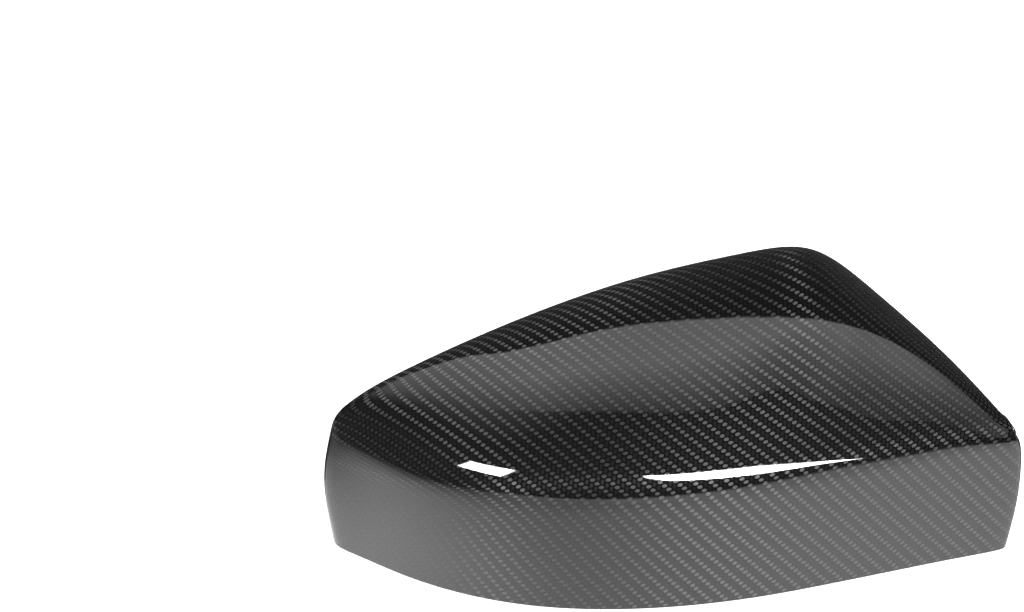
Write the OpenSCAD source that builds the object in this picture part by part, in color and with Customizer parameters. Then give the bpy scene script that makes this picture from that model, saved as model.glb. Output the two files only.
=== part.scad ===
// Wing mirror cover: one moulded shell, lying on its rim with the opening down.
// X runs from the outer end to the inner end, Y from the near skirt to the far side, Z up from the rim.
// The skin is a smooth sheet over a net of control points. Each station of the net runs from the near
// rim up the skirt, over the crease, across the face to the crest, and down the far wall to its rim.

/* [Outline] */
// Length of the rim between its two end corners (mm)
rim_len = 265; // [230:1:300]
// Depth of the rim, from its nearest point to the far side (mm)
rim_depth = 150; // [130:1:170]
// How far the near rim bows out ahead of its end corners (mm)
rim_bow = 39; // [25:1:50]

/* [Skirt] */
// Height of the crease above the rim (mm)
skirt_h = 50; // [38:1:60]
// How far the crease lies in from the rim (mm)
skirt_inset = 5.2; // [2:0.2:9]
// How far the two ends swell out between rim and crease (mm)
end_swell = 2.8; // [0:0.2:4]

/* [Crown] */
// Height of the highest point of the crest above the rim (mm)
crown_h = 110; // [92:0.5:122]
// Share of the rise that the face gains early, as a power of its run
face_swell = 1.9; // [1.6:0.1:2.2]

/* [Crease] */
// Softness of the crease at the outer end (mm)
crease_soft_outer = 14; // [8:0.5:18]
// Softness of the crease at the inner end (mm)
crease_soft_inner = 3.5; // [3:0.5:6]

/* [Shell] */
// Thickness of the laminate (mm)
wall_t = 2; // [1.2:0.1:2.6]

/* [Part] */
// Part to draw

/* [Hidden] */
carbon = [0.07, 0.07, 0.075];

// Stations from the outer corner to the inner corner. The first six entries are the near rim, the
// crest and the far rim in plan, x as a share of half the length, y as a share of bow or depth. Then
// come the crest's share of the rise above the skirt, the crease's share of the outer softness and
// how full the far wall is.
stations = [
    [-1.004, 1.03, -0.977, 0.300, -1.004, 0.269, 0.11, 1.00, 1.0],
    [-0.996, 0.91, -0.960, 0.297, -1.004, 0.300, 0.19, 1.00, 1.0],
    [-0.913, 0.75, -0.882, 0.310, -0.951, 0.463, 0.27, 1.00, 0.9],
    [-0.725, 0.33, -0.738, 0.353, -0.785, 0.617, 0.36, 0.90, 0.8],
    [-0.438, 0.00, -0.468, 0.427, -0.483, 0.793, 0.54, 0.70, 0.6],
    [-0.106, -0.03, -0.123, 0.493, -0.106, 0.925, 0.76, 0.50, 0.5],
    [0.196, 0.13, 0.204, 0.523, 0.257, 0.980, 0.89, 0.33, 0.5],
    [0.423, 0.35, 0.375, 0.512, 0.543, 1.013, 1.00, 0.22, 0.4],
    [0.634, 0.57, 0.500, 0.461, 0.783, 0.928, 0.746, 0.13, 0.3],
    [0.845, 0.79, 0.757, 0.373, 0.951, 0.700, 0.413, 0.05, 0.3],
    [0.989, 0.92, 0.960, 0.332, 0.996, 0.333, 0.09, 0.00, 0.3],
    [0.996, 0.98, 0.979, 0.299, 0.996, 0.256, 0.055, 0.00, 0.3]
];
last = len(stations) - 1;
half_len = rim_len / 2;
crest_ratio = 1.038;    // height of the highest control point, as the sheet runs a little below it
corner_lean = 1.3;      // how far the crease corner lies in from the rim's end corner

// Face control points between crease and crest, as shares of the run left after the crease
face_run = [0, 0.27, 0.54, 0.8];
// Far wall control points, crest to rim: share of the height left, share of the run outward for a
// lean wall and for a full wall
far_wall = [[0.985, 0.08, 0.16], [0.93, 0.21, 0.34], [0.82, 0.37, 0.52], [0.67, 0.53, 0.67],
            [0.5, 0.67, 0.79], [0.33, 0.8, 0.88], [0.16, 0.9, 0.95], [0, 1, 1]];
mid = 8;                // control point of the crest in each station
top = 2 * mid;          // last control point, on the far rim
crease_at = 3;          // control point of the crease
skirt_mid = 0.45;       // height share of the skirt's middle control point
swell_ratio = 1.3;      // how much more the ends swell at that point than below the crease
soft_cap = 0.25;        // largest share of the face that the crease takes
tip_core = 6;           // how far round a tip of the crest the inner side is shifted as one
tip_reach = 18;         // where that shift has faded out
shift_ratio = 1.5;      // that shift, as a multiple of the laminate

// Softness of the crease at a station
function soft(s) = crease_soft_inner + (crease_soft_outer - crease_soft_inner) * s[7];
// 1 at the inner end, -1 at the outer end, 0 between
function end_side(i) = i < 2 ? -1 : i > last - 2 ? 1 : 0;

function near_rim(s) = [half_len * s[0], rim_bow * s[1], 0];
function far_rim(s) = [half_len * s[4], rim_depth * s[5], 0];
function crest(s) = [half_len * s[2], rim_depth * s[3],
                     skirt_h + (crown_h * crest_ratio - skirt_h) * s[6]];
function crease(s, e) = near_rim(s) + [-corner_lean * e, skirt_inset, skirt_h];
function face(c, t, k) = [c[0] + (t[0] - c[0]) * k, c[1] + (t[1] - c[1]) * k,
                          c[2] + (t[2] - c[2]) * (1 - pow(1 - k, face_swell))];

// Control points of one station from the near rim to the crest
function near_half(s, e) =
    let (n = near_rim(s), c = crease(s, e), t = crest(s), r = soft(s),
         k0 = min(r / norm(t - c), soft_cap))
    concat([n,
            n + (c - n) * skirt_mid + [swell_ratio * end_swell * e, 0, 0],
            c - (c - n) / norm(c - n) * r + [end_swell * e, 0, 0],
            c],
           [for (k = face_run) face(c, t, k0 + (1 - k0) * k)],
           [t]);

function far_half(s) =
    let (t = crest(s), f = far_rim(s))
    [for (w = far_wall)
        let (k = w[1] + (w[2] - w[1]) * s[8])
        [t[0] + (f[0] - t[0]) * k, t[1] + (f[1] - t[1]) * k, t[2] * w[0]]];

// An end station folds back on itself. The station beside it has its far half opposite its near
// half, so that the skin rounds the corner; towards the crest both halves turn along the ridge.
function turned(h, p) =
    let (g = unit(h[mid] - p[mid]))
    [for (j = [mid - 1:-1:0])
        let (d = h[j] - p[j], w = max(0, j - crease_at) / (mid - crease_at)) p[j] - d + 2 * w * (d * g) * g];
function net_row(i) =
    let (h = near_half(stations[i], end_side(i)))
    i == 0 || i == last ? concat(h, [for (j = [mid - 1:-1:0]) h[j]])
    : i == 1 ? concat(h, turned(h, near_half(stations[0], -1)))
    : i == last - 1 ? concat(h, turned(h, near_half(stations[last], 1)))
    : concat(h, far_half(stations[i]));
net = [for (i = [0:last]) net_row(i)];

// Smooth cubic blend of a list of points or of rows, passing through its two ends
function pick(c, i) = i < 0 ? 2 * c[0] - c[1] : i > len(c) - 1 ? 2 * c[len(c) - 1] - c[len(c) - 2] : c[i];
function blend(c, t) =
    let (i = min(floor(t), len(c) - 2), s = t - i)
    pow(1 - s, 3) / 6 * pick(c, i - 1) + (3 * pow(s, 3) - 6 * s * s + 4) / 6 * pick(c, i)
    + (-3 * pow(s, 3) + 3 * s * s + 3 * s + 1) / 6 * pick(c, i + 1) + pow(s, 3) / 6 * pick(c, i + 2);

// Where columns and rows of the mesh lie on the net. They are closer at both ends and at the crease.
end_span = 2;           // stations at each end with close columns
end_cols = 9;
body_cols = 31;
crease_span = 1.5;      // control points on each side of the crease with close rows
skirt_rows = 4;
crease_rows = 13;
face_rows = 9;
function steps(a, b, n) = [for (k = [0:n - 1]) a + (b - a) * k / n];
us = concat(steps(0, end_span, end_cols), steps(end_span, last - end_span, body_cols),
            steps(last - end_span, last, end_cols), [last]);
crease_from = crease_at - crease_span;
crease_to = crease_at + crease_span;
half_vs = concat(steps(0, crease_from, skirt_rows), steps(crease_from, crease_to, crease_rows),
                 steps(crease_to, mid, face_rows));
vs = concat(half_vs, [mid], [for (k = [len(half_vs) - 1:-1:0]) top - half_vs[k]]);
cols = len(us) - 1;
rows = len(vs) - 1;
ridge = rows / 2;
tip_rows = 4;           // the end columns stop this far short of the ridge, where one point closes them
edge_top = ridge - tip_rows;

skin = [for (u = us) let (row = blend(net, u)) [for (v = vs) blend(row, v)]];

function unit(a) = a / norm(a);
// Outward direction of the skin, kept level on the rim so that the rim stays on its plane
function along(k, j) = k == 0 ? skin[1][j] - skin[1][rows - j]
                     : k == cols ? skin[cols - 1][rows - j] - skin[cols - 1][j]
                     : skin[k + 1][j] - skin[k - 1][j];
function across(k, j) = skin[k][min(j + 1, rows)] - skin[k][max(j - 1, 0)];
function outward(k, j) =
    let (n = cross(along(k, j), across(k, j)))
    j == 0 || j == rows ? unit([n[0], n[1], 0]) : unit(n);
// Around each tip of the crest the inner side follows the outer side by one shared shift, because
// the bends there are tighter than the laminate is thick
tips = [skin[0][edge_top], skin[cols][edge_top]];
function nearness(p, t) =
    let (x = min(1, max(0, (tip_reach - norm(p - t)) / (tip_reach - tip_core)))) x * x * (3 - 2 * x);
function depth(k, j) =
    let (p = skin[k][j], a = nearness(p, tips[0]), b = nearness(p, tips[1]), n = outward(k, j))
    wall_t * ((1 - a - b) * n + shift_ratio * (a * unit([-1, 0, 1]) + b * unit([1, 0, 1])));

// The end columns are one edge, so their far half is their near half
function is_end(k) = k == 0 || k == cols;
function ring(k) = is_end(k) ? [0:edge_top] : [0:rows];
function start(k) = k == 0 ? 0 : edge_top + 1 + (k - 1) * (rows + 1);
function at(k, j) = start(k) + (is_end(k) ? min(j, rows - j, edge_top) : j);
outer = [for (k = [0:cols]) for (j = ring(k)) skin[k][j]];
inner = [for (k = [0:cols]) for (j = ring(k)) skin[k][j] - depth(k, j)];
under = len(outer);

function whole(f) = f[0] != f[1] && f[1] != f[2] && f[2] != f[0];
function quad(a, b, c, d) = [for (f = [[a, b, c], [a, c, d]]) if (whole(f)) f];
faces_out = [for (k = [0:cols - 1]) for (j = [0:rows - 1])
             each quad(at(k, j), at(k, j + 1), at(k + 1, j + 1), at(k + 1, j))];
faces_in = [for (f = faces_out) [f[2] + under, f[1] + under, f[0] + under]];
rim_near = [for (k = [0:cols - 1])
            each quad(at(k, 0), at(k + 1, 0), at(k + 1, 0) + under, at(k, 0) + under)];
rim_far = [for (k = [0:cols - 1])
           each quad(at(k + 1, rows), at(k, rows), at(k, rows) + under, at(k + 1, rows) + under)];

// The part's origin lies under the middle of its outline, on the plane of the rim
function middle(i) = let (a = [for (p = outer) p[i]]) (min(a) + max(a)) / 2;

module cover_shell() {
    color(carbon)
        translate([-middle(0), -middle(1), 0])
        polyhedron(points = concat(outer, inner), faces = concat(faces_out, faces_in, rim_near, rim_far));
}

cover_shell();
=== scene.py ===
import math

import bpy
import numpy as np
from bpy.props import FloatProperty, FloatVectorProperty, IntProperty, PointerProperty
from mathutils import Matrix, Vector


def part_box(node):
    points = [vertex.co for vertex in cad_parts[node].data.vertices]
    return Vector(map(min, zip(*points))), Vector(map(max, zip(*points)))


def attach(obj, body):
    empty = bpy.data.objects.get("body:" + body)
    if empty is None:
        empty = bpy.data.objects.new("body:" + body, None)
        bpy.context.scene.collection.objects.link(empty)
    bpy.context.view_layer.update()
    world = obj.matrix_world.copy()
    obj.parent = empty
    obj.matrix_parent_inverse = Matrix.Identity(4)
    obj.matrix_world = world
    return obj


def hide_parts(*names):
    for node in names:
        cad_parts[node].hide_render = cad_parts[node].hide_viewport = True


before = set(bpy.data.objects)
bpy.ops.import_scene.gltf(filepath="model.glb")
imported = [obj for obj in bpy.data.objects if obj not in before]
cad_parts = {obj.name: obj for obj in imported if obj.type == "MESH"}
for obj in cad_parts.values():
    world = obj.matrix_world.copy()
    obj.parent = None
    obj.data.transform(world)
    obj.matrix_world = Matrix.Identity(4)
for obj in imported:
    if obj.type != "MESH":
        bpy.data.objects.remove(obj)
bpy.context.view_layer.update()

bl_info = {
    "name": "Wing mirror cover",
    "version": (1, 0, 0),
    "blender": (4, 5, 0),
    "location": "View3D > Sidebar > Mirror Cover",
    "description": "Carbon twill mirror cover lofted over a control net, with its studio",
    "category": "Object",
}

NODE_LOW, NODE_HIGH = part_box("cover_shell")

# Stations of the net from the outer corner to the inner corner: near rim, crest and far rim in plan
# (x as a share of half the length, y as a share of bow or depth), then the crest's share of the rise
# above the skirt, the crease's share of the outer softness and how full the far wall is.
STATIONS = (
    (-1.004, 1.03, -0.977, 0.300, -1.004, 0.269, 0.11, 1.00, 1.0),
    (-0.996, 0.91, -0.960, 0.297, -1.004, 0.300, 0.19, 1.00, 1.0),
    (-0.913, 0.75, -0.882, 0.310, -0.951, 0.463, 0.27, 1.00, 0.9),
    (-0.725, 0.33, -0.738, 0.353, -0.785, 0.617, 0.36, 0.90, 0.8),
    (-0.438, 0.00, -0.468, 0.427, -0.483, 0.793, 0.54, 0.70, 0.6),
    (-0.106, -0.03, -0.123, 0.493, -0.106, 0.925, 0.76, 0.50, 0.5),
    (0.196, 0.13, 0.204, 0.523, 0.257, 0.980, 0.89, 0.33, 0.5),
    (0.423, 0.35, 0.375, 0.512, 0.543, 1.013, 1.00, 0.22, 0.4),
    (0.634, 0.57, 0.500, 0.461, 0.783, 0.928, 0.746, 0.13, 0.3),
    (0.845, 0.79, 0.757, 0.373, 0.951, 0.700, 0.413, 0.05, 0.3),
    (0.989, 0.92, 0.960, 0.332, 0.996, 0.333, 0.09, 0.00, 0.3),
    (0.996, 0.98, 0.979, 0.299, 0.996, 0.256, 0.055, 0.00, 0.3),
)
# Face points between crease and crest, as shares of the run left after the crease.
FACE_RUN = (0, 0.27, 0.54, 0.8)
# Far wall points, crest to rim: share of the height left, then share of the run outward for a lean
# wall and for a full wall.
FAR_WALL = ((0.985, 0.08, 0.16), (0.93, 0.21, 0.34), (0.82, 0.37, 0.52), (0.67, 0.53, 0.67),
            (0.5, 0.67, 0.79), (0.33, 0.8, 0.88), (0.16, 0.9, 0.95), (0, 1, 1))
CREST_TOP = 1.038       # height of the net's crest, as a share of the crown's height
CORNER_LEAN = 0.0013    # how far the crease corner lies in from the rim's end corner
SKIRT_MID = 0.45        # height share of the skirt's middle point
MID_SWELL = 1.3         # how much more the ends swell there than below the crease
SOFT_CAP = 0.25         # largest share of the face that the crease takes
CREASE = 3              # net point of the crease
CREST = 8               # net point of the crest
TIP_START = 6.44        # net point from which an end row is closed to one point
WELD = 1e-6             # points closer than this become one
SMOOTH_ANGLE = math.radians(50)
# Around the two tips of the crest the wall thins to a share of itself, from TIP_REACH to TIP_CORE.
TIP_WALL = 0.1
TIP_REACH = 0.018
TIP_CORE = 0.003
# The ply turns from the rim's course to a level one between this share of the skirt and the crease.
SLIP_FROM = 0.6
# How far the ply leans on the face, and how much it is drawn together, or stretched where below 1.
FACE_LEAN = 0.1
CLOTH_ALONG = 1.04
CLOTH_FACE = 1.09
CLOTH_SKIRT = 0.945


class CoverShape(bpy.types.PropertyGroup):
    """Sizes of the moulded shell"""
    rim_length: FloatProperty(name="Rim length", description="Between the two end corners",
                              default=0.265, unit="LENGTH")
    rim_depth: FloatProperty(name="Rim depth", description="From the nearest point to the far side",
                             default=0.150, unit="LENGTH")
    rim_bow: FloatProperty(name="Rim bow", description="How far the near rim bows out",
                           default=0.039, unit="LENGTH")
    skirt_height: FloatProperty(name="Skirt height", description="Crease above the rim",
                                default=0.050, unit="LENGTH")
    skirt_inset: FloatProperty(name="Skirt inset", description="Crease in from the rim",
                               default=0.0052, unit="LENGTH")
    end_swell: FloatProperty(name="End swell", description="How far the two ends swell out",
                             default=0.0028, unit="LENGTH")
    crown_height: FloatProperty(name="Crown height", description="Crest above the rim",
                                default=0.110, unit="LENGTH")
    face_swell: FloatProperty(name="Face swell", description="Power of the face's early rise",
                              default=1.9)
    crease_soft_outer: FloatProperty(name="Outer crease", description="Softness at the outer end",
                                     default=0.014, unit="LENGTH")
    crease_soft_inner: FloatProperty(name="Inner crease", description="Softness at the inner end",
                                     default=0.0035, unit="LENGTH")
    wall: FloatProperty(name="Wall", description="Thickness of the laminate",
                        default=0.002, unit="LENGTH")
    steps_along: IntProperty(name="Steps along", description="Mesh steps per net row", default=12)
    steps_across: IntProperty(name="Steps across", description="Mesh steps per net point", default=10)


class CarbonFinish(bpy.types.PropertyGroup):
    """Weave, fibre and clear coat"""
    tow_width: FloatProperty(name="Tow width", description="Width of one bundle of fibres",
                             default=0.00152, unit="LENGTH", precision=5)
    tow_color: FloatVectorProperty(name="Tow colour", description="Fibre under the coat",
                                   default=(0.003, 0.003, 0.0033), size=3, subtype="COLOR")
    gap_color: FloatVectorProperty(name="Gap colour", description="Resin between the bundles",
                                   default=(0.001, 0.001, 0.001), size=3, subtype="COLOR")
    fibre_roughness: FloatProperty(name="Fibre roughness", description="Sheen of the fibres",
                                   default=0.56, subtype="FACTOR")
    fibre_ior: FloatProperty(name="Fibre IOR", description="Strength of the fibres' sheen",
                             default=2.4)
    stretch: FloatProperty(name="Sheen stretch", description="How far the sheen runs across fibres",
                           default=1.0, subtype="FACTOR")
    # The crossing tows are the same fibre as the long ones, given a smaller share of the sheen as
    # painted shade.
    cross_shaded_sheen: FloatProperty(name="Cross sheen", description="Sheen of the tows across the length",
                               default=0.1, subtype="FACTOR")
    # Float length and lean shape the painted highlight, an oval of sheen on each float.
    float_length: FloatProperty(name="Float length", description="Bright share of a float's length",
                                default=0.75, subtype="FACTOR")
    float_lean: FloatProperty(name="Float lean", description="How far a float's bright part leans",
                              default=0.25)
    # The next three set a painted sheen. The first is the level away from the crease, where a band
    # gets full sheen as a painted glint. The other two are the shares the skirt and its outer end
    # lose, as painted shade.
    face_sheen: FloatProperty(name="Face sheen", description="Sheen away from the crease",
                              default=0.48, subtype="FACTOR")
    skirt_painted_shade: FloatProperty(name="Skirt dulling", description="Sheen the skirt lacks",
                                 default=0.2, subtype="FACTOR")
    outer_painted_shade: FloatProperty(name="Outer dulling", description="The same at its outer end",
                                 default=0.75, subtype="FACTOR")
    crown_tilt: FloatProperty(name="Crown tilt", description="Slope of a float at its ends",
                              default=0.28)
    edge_tilt: FloatProperty(name="Edge tilt", description="Slope of a tow at its edges",
                             default=0.3)
    coat_ior: FloatProperty(name="Coat IOR", description="Strength of the coat's reflections",
                            default=1.65)
    coat_roughness: FloatProperty(name="Coat roughness", description="Haze of the clear coat",
                                  default=0.012, subtype="FACTOR")


class StudioLook(bpy.types.PropertyGroup):
    """Floor, lights and camera"""
    floor_size: FloatProperty(name="Floor size", description="Side of the pale floor",
                              default=12.0, unit="LENGTH")
    floor_color: FloatVectorProperty(name="Floor colour", description="Pale floor",
                                     default=(0.88, 0.88, 0.88), size=3, subtype="COLOR")
    floor_glow: FloatProperty(name="Floor glow", description="Lift of the floor to white",
                              default=0.45)
    fill: FloatProperty(name="Fill light", description="Even light on matt surfaces", default=0.2)
    room_front: FloatProperty(name="Room in front", description="Brightness ahead of the part",
                              default=0.12)
    room_behind: FloatProperty(name="Room behind", description="Brightness behind the part",
                               default=0.055)
    softbox: FloatProperty(name="Softbox", description="Brightness of the overhead softbox",
                           default=1.5)
    strip: FloatProperty(name="Strip lamps", description="Brightness of the two strip lamps",
                         default=75.0)
    # Strength of a painted glow of the floor that only the coat's reflections see.
    painted_table_glow: FloatProperty(name="Table", description="Brightness of the lit floor in the coat",
                         default=0.95)
    haze: FloatProperty(name="Horizon", description="Brightness low over the floor in front",
                        default=1.1)
    lens: FloatProperty(name="Lens", description="Focal length", default=77.0, unit="CAMERA")
    camera_place: FloatVectorProperty(name="Camera", description="Where the camera stands",
                                      default=(-0.0544, -0.7015, 0.559), size=3,
                                      subtype="TRANSLATION", unit="LENGTH")


def deselect():
    if bpy.context.object and bpy.context.object.mode != "OBJECT":
        bpy.ops.object.mode_set(mode="OBJECT")
    bpy.ops.object.select_all(action="DESELECT")


def station_points(share, end, size):
    """Control points of one station, from the near rim to the crest and down to the far rim."""
    half = size.rim_length / 2
    rim = np.array((half * share[0], size.rim_bow * share[1], 0))
    crest = np.array((half * share[2], size.rim_depth * share[3], size.skirt_height
                      + (size.crown_height * CREST_TOP - size.skirt_height) * share[6]))
    far = np.array((half * share[4], size.rim_depth * share[5], 0))
    soft = (size.crease_soft_inner
            + (size.crease_soft_outer - size.crease_soft_inner) * share[7])
    crease = rim + np.array((-CORNER_LEAN * end, size.skirt_inset, size.skirt_height))
    up = (crease - rim) / np.linalg.norm(crease - rim)
    swell = np.array((size.end_swell * end, 0, 0))
    points = [rim, rim + (crease - rim) * SKIRT_MID + MID_SWELL * swell,
              crease - up * soft + swell, crease]
    first = min(soft / np.linalg.norm(crest - crease), SOFT_CAP)
    for run in FACE_RUN:
        k = first + (1 - first) * run
        point = crease + (crest - crease) * k
        point[2] = crease[2] + (crest[2] - crease[2]) * (1 - (1 - k) ** size.face_swell)
        points.append(point)
    points.append(crest)
    for left, lean, full in FAR_WALL:
        k = lean + (full - lean) * share[8]
        point = crest + (far - crest) * k
        point[2] = crest[2] * left
        points.append(point)
    return np.array(points)


def turned(row, tip):
    """Far half of the station beside an end, opposite its near half about the end's own points."""
    ridge = row[CREST] - tip[CREST]
    ridge = ridge / np.linalg.norm(ridge)
    points = []
    for j in range(CREST - 1, -1, -1):
        step = row[j] - tip[j]
        weight = max(0, j - CREASE) / (CREST - CREASE)
        points.append(tip[j] - step + 2 * weight * step.dot(ridge) * ridge)
    return points


def control_net(size):
    """Rows of control points; an end row folds back on itself."""
    last = len(STATIONS) - 1
    rows = []
    for i, share in enumerate(STATIONS):
        end = -1 if i < 2 else 1 if i > last - 2 else 0
        row = station_points(share, end, size)
        if i in (0, last):
            row[CREST + 1:] = row[CREST - 1::-1]
        elif i in (1, last - 1):
            tip = station_points(STATIONS[0 if i == 1 else last], end, size)
            row[CREST + 1:] = turned(row, tip)
        rows.append(row)
    net = np.array(rows)
    net = np.concatenate((2 * net[:1] - net[1:2], net, 2 * net[-1:] - net[-2:-1]))
    return np.concatenate((2 * net[:, :1] - net[:, 1:2], net, 2 * net[:, -1:] - net[:, -2:-1]), 1)


def loft(name, net, along, across):
    """A cubic surface over the net, made a mesh: one curve per row, joined into one sheet."""
    deselect()
    sheet = bpy.data.curves.new(name, "SURFACE")
    sheet.dimensions = "3D"
    for row in net:
        line = sheet.splines.new("NURBS")
        line.points.add(len(row) - 1)
        line.points.foreach_set("co", np.insert(row, 3, 1.0, axis=1).ravel())
    obj = bpy.data.objects.new(name, sheet)
    bpy.context.collection.objects.link(obj)
    bpy.context.view_layer.objects.active = obj
    obj.select_set(True)
    bpy.ops.object.mode_set(mode="EDIT")
    bpy.ops.curve.select_all(action="SELECT")
    bpy.ops.curve.make_segment()
    bpy.ops.object.mode_set(mode="OBJECT")
    surface = sheet.splines[0]
    surface.order_u = surface.order_v = 4
    surface.use_endpoint_u = surface.use_endpoint_v = False
    surface.resolution_u, surface.resolution_v = along, across
    sheet.resolution_u, sheet.resolution_v = along, across
    bpy.ops.object.convert(target="MESH")
    return bpy.context.object


def mesh_points(mesh):
    flat = np.empty(len(mesh.vertices) * 3)
    mesh.vertices.foreach_get("co", flat)
    return flat.reshape(-1, 3)


def arc(grid, axis):
    """Running length of the grid's lines along one axis."""
    step = np.linalg.norm(np.diff(grid, axis=axis), axis=2)
    zero = np.zeros_like(step[:1] if axis == 0 else step[:, :1])
    return np.cumsum(np.concatenate((zero, step), axis), axis)


def lay_ply(mesh, grid):
    """UV map in metres: one ply laid over the shell. It follows the rim on the skirt, and on the face
    its long tows run level, also where the crease turns back towards the outer end."""
    cols = grid.shape[1]
    grid = grid[:, ::-1]    # now from the near rim to the far rim
    along = arc(grid, 0)
    middle = np.abs(grid[:, :, 0] - grid[:, :, 0].mean()).argmin(axis=0)
    along = along[middle, np.arange(cols)] - along
    across = arc(grid, 1)
    crease = round(CREASE / (2 * CREST) * (cols - 1))
    edge_y = grid[:, crease, 1]
    nearest = edge_y.argmin()
    slip = np.where(grid[:, crease, 0] < grid[nearest, crease, 0], edge_y - edge_y[nearest], 0)
    share = np.clip((np.arange(cols) / crease - SLIP_FROM) / (1 - SLIP_FROM), 0, 1)
    across = across - across[:, crease:crease + 1] + slip[:, None] * share
    along = CLOTH_ALONG * along + FACE_LEAN * np.maximum(across, 0)
    across = across * np.where(across > 0, CLOTH_FACE, CLOTH_SKIRT)
    flat = np.stack((along, across), -1)[:, ::-1].reshape(-1, 2)
    corner = np.empty(len(mesh.loops), np.int32)
    mesh.loops.foreach_get("vertex_index", corner)
    for layer in list(mesh.uv_layers):
        mesh.uv_layers.remove(layer)
    mesh.uv_layers.new(name="weave").data.foreach_set("uv", flat[corner].ravel())


# Sockets of the Mix node when it mixes colours
MIX_SHARE, MIX_OFF, MIX_ON, MIX_RESULT = 0, 6, 7, 2
WHITE = (1, 1, 1, 1)


class Graph:
    """Adds shader nodes to a tree and links them."""

    def __init__(self, tree):
        self.tree = tree
        tree.nodes.clear()

    def add(self, kind, values=None, **settings):
        node = self.tree.nodes.new(kind)
        for key, value in settings.items():
            setattr(node, key, value)
        for key, value in (values or {}).items():
            self.put(node.inputs[key], value)
        return node

    def put(self, socket, value):
        if isinstance(value, bpy.types.NodeSocket):
            self.tree.links.new(value, socket)
        else:
            socket.default_value = value

    def math(self, operation, *values):
        node = self.add("ShaderNodeMath", operation=operation)
        for socket, value in zip(node.inputs, values):
            self.put(socket, value)
        return node.outputs[0]

    def times(self, first, *others):
        product = first
        for value in others:
            product = self.math("MULTIPLY", product, value)
        return product

    def rest(self, share):
        """What a share leaves of 1."""
        return self.math("SUBTRACT", 1.0, share)

    def pick(self, choice, off, on):
        """off where choice is 0, on where it is 1."""
        return self.math("ADD", off, self.math("MULTIPLY", choice, self.math("SUBTRACT", on, off)))

    def linear(self, value, low, high):
        """0 to 1 as value goes from low to high."""
        return self.add("ShaderNodeMapRange", {"Value": value, "From Min": low, "From Max": high}
                        ).outputs["Result"]

    def ramp(self, value, low, high):
        """The same with soft ends."""
        return self.add("ShaderNodeMapRange", {"Value": value, "From Min": low, "From Max": high},
                        interpolation_type="SMOOTHSTEP").outputs["Result"]

    def beyond(self, x, y, edge):
        """How far a point lies on the inner side of an edge (a, b, c): a x + b y + c."""
        a, b, c = (float(number) for number in edge)
        return self.math("MULTIPLY_ADD", x, a, self.math("MULTIPLY_ADD", y, b, c))

    def tint(self, choice, off, on):
        node = self.add("ShaderNodeMix", data_type="RGBA")
        self.put(node.inputs[MIX_SHARE], choice)
        self.put(node.inputs[MIX_OFF], off)
        self.put(node.inputs[MIX_ON], on)
        return node.outputs[MIX_RESULT]

    def split(self, value):
        return self.add("ShaderNodeSeparateXYZ", {0: value}).outputs

    def place(self):
        """x, y and z in the object's own coordinates."""
        return self.split(self.add("ShaderNodeTexCoord").outputs["Object"])

    def glow(self, strength):
        return self.add("ShaderNodeEmission", {"Color": WHITE, "Strength": strength}).outputs[0]

    def clear(self):
        return self.add("ShaderNodeBsdfTransparent", {"Color": WHITE}).outputs[0]

    def blend(self, choice, off, on):
        return self.add("ShaderNodeMixShader", {0: choice, 1: off, 2: on}).outputs[0]

    def both(self, one, other):
        return self.add("ShaderNodeAddShader", {0: one, 1: other}).outputs[0]

    def surface(self, shader, kind="ShaderNodeOutputMaterial"):
        self.add(kind, {"Surface": shader})


def new_material(name):
    made = bpy.data.materials.new(name)
    made.use_nodes = True
    return made, Graph(made.node_tree)


TWILL = 4.0             # tows in one repeat of the twill
FLOAT = 2.0             # tows that a float passes over
CROWN_POWER = 4.0       # how late a float bends down towards its ends
EDGE_POWER = 3.0        # how late a tow bends down towards its edges
# The oval's edge bounds the painted highlight on each float and starts the resin gap, whose sheen is
# cut as painted shade.
GAP_AND_SHADE_RUN = (0.45, 1.1)   # where the bright oval of a float turns into the dark gap
QUARTER_TURN = 0.25
# Bands of the painted sheen, in metres on the ply: across it from the crease, along it from its
# middle. Along the crease the sheen is raised to full, a painted glint. On the skirt, more towards
# its outer end, it is lowered, painted shade.
SHADED_SKIRT_RUN = (0.0, -0.008)
SHADED_OUTER_RUN = (-0.055, -0.10)
PAINTED_GLINT_RISE = (0.001, 0.0055)
PAINTED_GLINT_FALL = (0.0105, 0.0065)
INSIDE_COLOR = (0.012, 0.012, 0.013, 1)
INSIDE_ROUGHNESS = 0.55


def bend(g, place, power, slope):
    """Slope that grows from the middle of a tow or float, at 0, to its ends, at -1 and 1."""
    return g.times(g.math("POWER", g.math("ABSOLUTE", place), power),
                   g.math("MULTIPLY", g.math("SIGN", place), slope))


def painted_sheen_level(g, along, across, finish):
    """Share of the fibres' sheen at a place on the ply, painted by place: raised to full in a band
    along the crease as a painted glint, and lowered on the skirt, more towards its outer end, as
    painted shade.
    """
    # Sheen the skirt loses, more at its outer end: painted shade.
    skirt = g.times(g.ramp(across, *SHADED_SKIRT_RUN),
                    g.pick(g.ramp(along, *SHADED_OUTER_RUN), finish.skirt_painted_shade, finish.outer_painted_shade))
    # Band along the crease where the sheen is raised to full: a painted glint.
    crease = g.times(g.ramp(across, *PAINTED_GLINT_RISE), g.ramp(across, *PAINTED_GLINT_FALL))
    return g.pick(skirt, g.pick(crease, finish.face_sheen, 1.0), 0.0)


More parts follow.
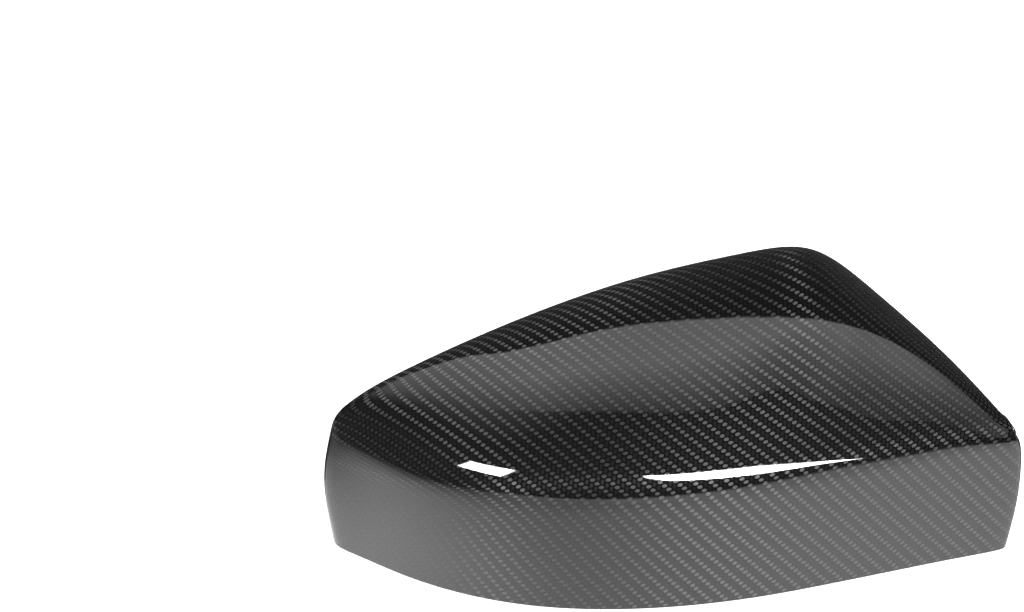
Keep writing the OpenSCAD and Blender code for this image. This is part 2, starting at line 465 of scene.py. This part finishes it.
def laminate(finish):
    """Twill of flat tows under a clear coat, with painted highlight and painted shade on the fibres'
    sheen.
    """
    made, g = new_material("carbon_laminate")
    ply = g.split(g.add("ShaderNodeUVMap", uv_map="weave").outputs[0])
    along = g.math("DIVIDE", ply[0], finish.tow_width)
    across = g.math("DIVIDE", ply[1], finish.tow_width)
    col, row = g.math("FLOOR", along), g.math("FLOOR", across)
    turn = g.math("FLOORED_MODULO", g.math("ADD", col, row), TWILL)
    cross = g.math("LESS_THAN", turn, FLOAT - 0.5)    # 1 where the crossing tow lies on top
    long_run = g.math("FLOORED_MODULO", g.math("ADD", along, row), TWILL)
    long_run = g.math("SUBTRACT", long_run, FLOAT)
    cross_run = g.math("FLOORED_MODULO", g.math("ADD", across, col), TWILL)
    run = g.math("SUBTRACT", g.pick(cross, long_run, cross_run), FLOAT / 2)
    side = g.pick(cross, g.math("FRACT", across), g.math("FRACT", along))
    side = g.math("MULTIPLY_ADD", side, 2.0, -1.0)

    bow = bend(g, run, CROWN_POWER, finish.crown_tilt)
    edge = bend(g, side, EDGE_POWER, finish.edge_tilt)
    tilt_u, tilt_v = g.pick(cross, bow, edge), g.pick(cross, edge, bow)
    color = g.add("ShaderNodeCombineXYZ", {
        0: g.math("MULTIPLY_ADD", tilt_u, 0.5, 0.5),
        1: g.math("MULTIPLY_ADD", tilt_v, 0.5, 0.5), 2: 1.0}).outputs[0]
    normal = g.add("ShaderNodeNormalMap", {"Color": color}, uv_map="weave").outputs[0]
    tangent = g.add("ShaderNodeTangent", direction_type="UV_MAP", uv_map="weave").outputs[0]

    # Each float's sheen is kept to an oval, a painted highlight. Outside it the sheen is cut, painted
    # shade, and the colour turns to the resin's own gap colour.
    lean = g.math("MULTIPLY_ADD", run, -finish.float_lean, side)
    reach = g.math("DIVIDE", run, finish.float_length)
    oval = g.math("MULTIPLY_ADD", reach, reach, g.math("MULTIPLY", lean, lean))
    gap_and_painted_shade = g.ramp(oval, *GAP_AND_SHADE_RUN)
    # Sheen with painted highlight and painted shade. The crossing tows get less of it. It is kept to
    # an oval on each float. It is raised along the crease and lowered on the skirt.
    sheen = g.times(g.pick(cross, 1.0, finish.cross_shaded_sheen), g.rest(gap_and_painted_shade),
                    painted_sheen_level(g, ply[0], ply[1], finish))
    shader = g.add("ShaderNodeBsdfPrincipled", {
        "Base Color": g.tint(gap_and_painted_shade, (*finish.tow_color, 1), (*finish.gap_color, 1)),
        "Roughness": finish.fibre_roughness, "IOR": finish.fibre_ior,
        "Anisotropic": finish.stretch, "Specular Tint": sheen,
        "Anisotropic Rotation": g.pick(cross, QUARTER_TURN, 0.0),
        "Tangent": tangent, "Normal": normal,
        "Coat Weight": 1.0, "Coat Roughness": finish.coat_roughness, "Coat IOR": finish.coat_ior})
    g.surface(shader.outputs[0])
    return made


def bare_inside():
    """Inner side of the laminate, matt as it leaves the mould."""
    made, g = new_material("bare_inside")
    shader = g.add("ShaderNodeBsdfPrincipled",
                   {"Base Color": INSIDE_COLOR, "Roughness": INSIDE_ROUGHNESS})
    g.surface(shader.outputs[0])
    return made


def fit_to_node(grid):
    """The sheet fills the box of its node exactly."""
    low, high = grid.min((0, 1)), grid.max((0, 1))
    return (grid - low) / (high - low) * np.array(NODE_HIGH - NODE_LOW) + np.array(NODE_LOW)


def thin_tips(shell, tips):
    """Vertex group with the share of the wall: less around the tips of the crest."""
    group = shell.vertex_groups.new(name="wall_share")
    for vertex in shell.data.vertices:
        away = min((vertex.co - tip).length for tip in tips)
        share = min(1, max(0, (away - TIP_CORE) / (TIP_REACH - TIP_CORE)))
        group.add([vertex.index], TIP_WALL + (1 - TIP_WALL) * share, "REPLACE")
    return group.name


class COVER_OT_add_shell(bpy.types.Operator):
    """Loft the shell over its net, give it its wall and lay the ply"""
    bl_idname = "mirror_cover.add_shell"
    bl_label = "Add Cover Shell"
    bl_options = {"REGISTER", "UNDO"}

    def execute(self, context):
        size, finish = context.scene.cover_shape, context.scene.carbon_finish
        net = control_net(size)
        shell = loft("cover_shell_skin", net, size.steps_along, size.steps_across)
        mesh = shell.data
        cols = net.shape[1] * size.steps_across
        grid = mesh_points(mesh).reshape(-1, cols, 3)
        if len(grid) != net.shape[0] * size.steps_along:
            raise RuntimeError("the loft didn't come out as a grid")
        tip = round(TIP_START / (2 * CREST) * (cols - 1))
        for end in (0, -1):    # the folded end rows close to one point at the crest
            grid[end, tip:cols - tip] = grid[end, tip]
        grid = fit_to_node(grid)
        mesh.vertices.foreach_set("co", grid.ravel())
        lay_ply(mesh, grid)
        bpy.ops.object.mode_set(mode="EDIT")
        bpy.ops.mesh.select_all(action="SELECT")
        bpy.ops.mesh.remove_doubles(threshold=WELD)
        bpy.ops.mesh.normals_make_consistent(inside=False)
        bpy.ops.object.mode_set(mode="OBJECT")
        wall = shell.modifiers.new("wall", "SOLIDIFY")
        wall.thickness, wall.offset = size.wall, -1
        wall.vertex_group = thin_tips(shell, (Vector(grid[0, tip]), Vector(grid[-1, tip])))
        wall.material_offset, wall.material_offset_rim = 1, 1
        mesh.materials.clear()
        mesh.materials.append(laminate(finish))
        mesh.materials.append(bare_inside())
        bpy.ops.object.modifier_apply(modifier="wall")
        points = mesh_points(mesh)
        points[:, 2] = np.maximum(points[:, 2], NODE_LOW.z)
        mesh.vertices.foreach_set("co", points.ravel())
        bpy.ops.object.shade_smooth_by_angle(angle=SMOOTH_ANGLE)
        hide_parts("cover_shell")
        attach(shell, "root")
        return {"FINISHED"}


# The two strip lamps are areas of the sky. Their x and y lie on a level plane one unit above the
# object, so straight lamp edges stay straight.
STRIPS = (
    ((-1.075, -1.335), (-0.72, -1.41), (-0.445, -0.985), (-0.715, -0.955)),
    ((0.195, -1.235), (0.325, -1.315), (0.500, -1.432), (0.800, -1.68), (2.80, -3.64),
     (3.57, -4.44), (0.62, -1.79), (0.397, -1.585), (0.243, -1.35), (0.205, -1.28)),
)
STRIP_SHARE = (0.65, 1.0)
STRIP_SOFT = 0.015
LEAST_RISE = 0.02       # directions nearer the horizon count as this steep
BEHIND_RUN = (-0.25, 0.2)    # where the room in front turns into the room behind
# The haze low over the floor: axis of the direction, then where it fades in along that axis.
HAZE_RUNS = ((2, 0.1, 0.0), (1, 0.0, -0.3), (0, -0.5, -0.25))

# The softbox, in metres on its plane. Its edges (a, b, c) have their inner side where
# a x + b y + c > 0.
SOFTBOX_HEIGHT = 0.5
SOFTBOX_SPAN = ((-0.6, -1.2), (1.1, 1.1))
SOFTBOX_FRONT = (0.623, 0.782, 0.276)
SOFTBOX_FRONT_RIGHT = (0.44, 0.898, 0.44)
SOFTBOX_LEFT = (1.0, 0.2, 0.4)
SHARP_RUN = (-0.004, 0.004)
LEFT_FADE = (0.0, 0.2)
# Its light grows from a fifth at the front edge over this width, which is larger to the right.
RISE_FROM = -0.25
RISE_WIDTH = 0.12
WIDER_BY = 0.3
WIDER_RUN = (0.07, 0.55)
# To the left the sharp front edge gives way to a slower rise, shifted forward by this much.
SLOW_RUN = (-0.1, -0.28)
SLOW_START = -0.1
# To the right the light dims, in two stretches of x that each take away a share.
DIM_RUNS = ((0.48, 0.70, 0.5), (0.70, 0.95, 0.25))
# Towards the back, where the flag hides it from the coat, it is this much brighter.
SOFTBOX_BACK = 4.0
BACK_RUN = (0.3, 0.6)
BACK_SIDE_RUN = (-0.25, -0.15)

# A dark flag under the softbox hides it from reflections towards the back, behind this edge. It is a
# painted dark reflection; the softbox's light still passes.
FLAG_HEIGHT = 0.15
FLAG_SPAN = ((-0.6, -0.5), (0.9, 1.0))
FLAG_SOFT = 0.0012
FLAG_LOW, FLAG_HIGH = (-0.3, -0.4), (0.5, 0.6)    # corners of the field that holds the edge
FLAG_EDGE = ((-0.28, 0.45), (-0.20, 0.21), (-0.155, 0.11), (-0.130, 0.066), (-0.112, 0.037),
             (-0.104, 0.024), (-0.097, 0.016), (-0.091, 0.011), (-0.084, 0.008), (-0.078, 0.005),
             (-0.072, 0.003), (-0.060, 0.000), (-0.048, -0.003), (-0.036, -0.007),
             (-0.024, -0.011), (-0.012, -0.016), (-0.001, -0.020), (0.009, -0.025),
             (0.019, -0.030), (0.029, -0.037), (0.036, -0.040), (0.045, -0.044), (0.056, -0.047),
             (0.070, -0.048), (0.087, -0.047), (0.106, -0.043), (0.123, -0.036), (0.136, -0.028),
             (0.145, -0.020), (0.152, -0.014), (0.160, -0.009), (0.171, -0.004), (0.183, -0.001),
             (0.196, -0.002), (0.211, -0.007), (0.227, -0.018), (0.245, -0.037), (0.27, -0.07),
             (0.31, -0.15), (0.40, -0.38))

# The painted glow of the floor that only reflections see, a painted pool of light, in metres on the
# floor: where it grows, and by how much.
NEAR_RUN, NEAR_GAIN = (-0.26, -0.05), 0.45
RIGHT_RUN, RIGHT_GAIN = (-0.06, 0.10), 0.45
LEFT_RUN, LEFT_NEAR_RUN, LEFT_GAIN = (-0.02, -0.12), (-0.16, -0.06), 0.95
# The painted pool of light lies to the right of the side run below, which moves left by the slant for
# each metre further in front than the bend, and in front of the back run.
PAINTED_POOL_SIDE_RUN = (-0.31, -0.12)
PAINTED_POOL_BACK_RUN = (0.04, -0.05)
PAINTED_POOL_BEND = 0.25
PAINTED_POOL_SLANT = 0.45
ROOM_RUN = (-0.1, 0.05)    # where the unlit floor turns from the room in front to the room behind

SENSOR_WIDTH = 36
CAMERA_RIGHT = Vector((1.0, 0.010, -0.001))
CAMERA_AHEAD = Vector((-0.009, 0.830, -0.557))


def patch(g, x, y, corners, soft):
    """1 inside a convex patch given by its corners in turn, 0 outside."""
    inside = 1.0
    middle = np.mean(corners, axis=0)
    for a, b in zip(corners, corners[1:] + corners[:1]):
        normal = np.array((a[1] - b[1], b[0] - a[0]))
        normal = normal / np.linalg.norm(normal)
        if normal.dot(middle - a) < 0:
            normal = -normal
        edge = (*normal, -normal.dot(a))
        inside = g.times(inside, g.ramp(g.beyond(x, y, edge), -soft, soft))
    return inside


def follow(g, value, points, low, high):
    """A smooth curve through points, as a function of value. low and high bound both."""
    node = g.add("ShaderNodeFloatCurve")
    curve = node.mapping.curves[0]
    places = [((x - low[0]) / (high[0] - low[0]), (y - low[1]) / (high[1] - low[1]))
              for x, y in points]
    curve.points[0].location, curve.points[1].location = places[0], places[-1]
    for place in places[1:-1]:
        curve.points.new(*place)
    for point in curve.points:
        point.handle_type = "AUTO_CLAMPED"
    node.mapping.update()
    g.put(node.inputs["Value"], g.linear(value, low[0], high[0]))
    return g.math("MULTIPLY_ADD", node.outputs[0], high[1] - low[1], low[1])


def softbox_light(g, x, y):
    """Brightness over the softbox: it fades in from its front and left and dims to the right."""
    front = g.beyond(x, y, SOFTBOX_FRONT)
    slow = g.linear(x, *SLOW_RUN)
    width = g.math("MULTIPLY_ADD", g.linear(x, *WIDER_RUN), WIDER_BY, RISE_WIDTH)
    start = g.math("MULTIPLY", slow, SLOW_START)
    rise = g.linear(g.math("DIVIDE", g.math("SUBTRACT", front, start),
                           g.math("SUBTRACT", width, start)), RISE_FROM, 1.0)
    rise = g.times(rise, g.pick(slow, g.linear(front, *SHARP_RUN), 1.0),
                   g.linear(g.beyond(x, y, SOFTBOX_FRONT_RIGHT), *SHARP_RUN),
                   g.linear(g.beyond(x, y, SOFTBOX_LEFT), *LEFT_FADE))
    dim = 1.0
    for low, high, loss in DIM_RUNS:
        dim = g.math("MULTIPLY_ADD", g.linear(x, low, high), -loss, dim)
    back = g.times(g.ramp(y, *BACK_RUN), g.ramp(x, *BACK_SIDE_RUN))
    return g.times(rise, dim, g.pick(back, 1.0, SOFTBOX_BACK))


def softbox_glow(look):
    """Light of the softbox, clear to whatever lies behind it."""
    made, g = new_material("softbox_glow")
    x, y = g.place()[:2]
    unseen = g.rest(g.add("ShaderNodeLightPath").outputs["Is Camera Ray"])
    below = g.rest(g.add("ShaderNodeNewGeometry").outputs["Backfacing"])
    light = g.times(softbox_light(g, x, y), look.softbox, g.times(unseen, below))
    g.surface(g.both(g.clear(), g.glow(light)))
    return made


def flag_shade(look):
    """Dark flag, a painted dark reflection: clear in front of its edge and to anything but
    reflections.
    """
    made, g = new_material("flag_shade")
    x, y = g.place()[:2]
    edge_y = follow(g, x, FLAG_EDGE, FLAG_LOW, FLAG_HIGH)
    behind = g.linear(g.math("SUBTRACT", y, edge_y), -FLAG_SOFT, FLAG_SOFT)
    glossy = g.add("ShaderNodeLightPath").outputs["Is Glossy Ray"]
    g.surface(g.blend(g.times(behind, glossy), g.clear(), g.glow(look.room_behind)))
    return made


def level_plane(name, low, high, height, material):
    """A level plane over a rectangle, facing down."""
    deselect()
    bpy.ops.mesh.primitive_plane_add(size=1)
    plane = bpy.context.object
    plane.name = name
    corners = [(x, y, 0) for y in (low[1], high[1]) for x in (low[0], high[0])]
    plane.data.vertices.foreach_set("co", np.array(corners).ravel())
    plane.data.flip_normals()
    plane.location.z = height
    plane.data.materials.append(material)


def studio_sky(look):
    """Dark room with two strip lamps; white to the camera."""
    world = bpy.data.worlds.new("studio")
    world.use_nodes = True
    bpy.context.scene.world = world
    g = Graph(world.node_tree)
    way = g.split(g.add("ShaderNodeTexCoord").outputs["Generated"])
    rise = g.math("MAXIMUM", way[2], LEAST_RISE)
    x, y = g.math("DIVIDE", way[0], rise), g.math("DIVIDE", way[1], rise)
    light = g.pick(g.ramp(way[1], *BEHIND_RUN), look.room_front, look.room_behind)
    haze = g.times(*(g.ramp(way[axis], low, high) for axis, low, high in HAZE_RUNS))
    light = g.math("MULTIPLY_ADD", haze, look.haze, light)
    for corners, share in zip(STRIPS, STRIP_SHARE):
        lamp = patch(g, x, y, corners, STRIP_SOFT)
        light = g.math("MULTIPLY_ADD", lamp, look.strip * share, light)
    path = g.add("ShaderNodeLightPath").outputs
    light = g.math("MULTIPLY_ADD", path["Is Diffuse Ray"], look.fill, light)
    room, white = (g.add("ShaderNodeBackground", {"Color": WHITE, "Strength": strength}).outputs[0]
                   for strength in (light, 1.0))
    g.surface(g.blend(path["Is Camera Ray"], room, white), "ShaderNodeOutputWorld")


def painted_floor_reflection(g, x, y, look):
    """Brightness of the floor as the coat mirrors it: a painted glow that only reflections see, a
    painted pool of light in front of the cover over the dim room.
    """
    level = g.math("MULTIPLY_ADD", g.ramp(y, *NEAR_RUN), NEAR_GAIN, 1.0)
    level = g.math("MULTIPLY_ADD", g.ramp(x, *RIGHT_RUN), RIGHT_GAIN, level)
    left = g.times(g.ramp(x, *LEFT_RUN), g.ramp(y, *LEFT_NEAR_RUN))
    level = g.math("MULTIPLY_ADD", left, LEFT_GAIN, level)
    ahead = g.math("MINIMUM", g.math("ADD", y, PAINTED_POOL_BEND), 0.0)
    sidelong = g.math("MULTIPLY_ADD", ahead, -PAINTED_POOL_SLANT, x)
    # Where the floor shows its painted pool of light in reflections.
    lit = g.times(g.ramp(sidelong, *PAINTED_POOL_SIDE_RUN), g.ramp(y, *PAINTED_POOL_BACK_RUN))
    room = g.pick(g.ramp(y, *ROOM_RUN), look.room_front, look.room_behind)
    return g.math("MULTIPLY_ADD", g.times(lit, level), look.painted_table_glow, room)


def pale_floor(look):
    """Matt pale floor, white to the camera. To the coat it shows only a painted glow in front of the
    cover, a painted reflection.
    """
    made, g = new_material("pale_floor")
    matt = g.add("ShaderNodeBsdfDiffuse", {"Color": (*look.floor_color, 1)}).outputs[0]
    path = g.add("ShaderNodeLightPath").outputs
    white = g.both(matt, g.glow(g.times(path["Is Camera Ray"], look.floor_glow)))
    x, y = g.place()[:2]
    painted_reflection = g.glow(painted_floor_reflection(g, x, y, look))
    g.surface(g.blend(path["Is Glossy Ray"], white, painted_reflection))
    return made


class COVER_OT_add_studio(bpy.types.Operator):
    """Add the pale floor, the lamps and the camera"""
    bl_idname = "mirror_cover.add_studio"
    bl_label = "Add Studio"
    bl_options = {"REGISTER", "UNDO"}

    def execute(self, context):
        look = context.scene.studio_look
        deselect()
        bpy.ops.mesh.primitive_plane_add(size=look.floor_size, location=(0, 0, 0))
        floor = context.object
        floor.name = "pale_floor"
        floor.data.materials.append(pale_floor(look))
        level_plane("softbox", *SOFTBOX_SPAN, SOFTBOX_HEIGHT, softbox_glow(look))
        level_plane("flag", *FLAG_SPAN, FLAG_HEIGHT, flag_shade(look))
        studio_sky(look)
        bpy.ops.object.camera_add(location=look.camera_place)
        camera = context.object
        camera.name = "photo_camera"
        camera.data.lens = look.lens
        camera.data.sensor_width = SENSOR_WIDTH
        back = -CAMERA_AHEAD.normalized()
        side = (CAMERA_RIGHT - CAMERA_RIGHT.dot(back) * back).normalized()
        turn = Matrix((side, back.cross(side), back)).transposed()
        camera.rotation_euler = turn.to_euler()
        context.scene.camera = camera
        context.scene.view_settings.view_transform = "Standard"
        return {"FINISHED"}


class COVER_PT_panel(bpy.types.Panel):
    """Buttons and sizes of the mirror cover"""
    bl_idname = "COVER_PT_panel"
    bl_label = "Mirror Cover"
    bl_space_type = "VIEW_3D"
    bl_region_type = "UI"
    bl_category = "Mirror Cover"

    def draw(self, context):
        for group, operator in (("cover_shape", COVER_OT_add_shell), ("carbon_finish", None),
                                ("studio_look", COVER_OT_add_studio)):
            values = getattr(context.scene, group)
            box = self.layout.box()
            for name in values.bl_rna.properties.keys():
                if name not in ("rna_type", "name"):
                    box.prop(values, name)
            if operator:
                box.operator(operator.bl_idname)


GROUPS = {"cover_shape": CoverShape, "carbon_finish": CarbonFinish, "studio_look": StudioLook}
OPERATORS = (COVER_OT_add_shell, COVER_OT_add_studio)


def register():
    for group in GROUPS.values():
        bpy.utils.register_class(group)
    for name, group in GROUPS.items():
        setattr(bpy.types.Scene, name, PointerProperty(type=group))
    for operator in OPERATORS:
        bpy.utils.register_class(operator)
    bpy.utils.register_class(COVER_PT_panel)


def unregister():
    bpy.utils.unregister_class(COVER_PT_panel)
    for operator in reversed(OPERATORS):
        bpy.utils.unregister_class(operator)
    for name, group in GROUPS.items():
        delattr(bpy.types.Scene, name)
        bpy.utils.unregister_class(group)


def main():
    register()
    bpy.ops.mirror_cover.add_shell()
    bpy.ops.mirror_cover.add_studio()


if __name__ == "__main__":
    main()
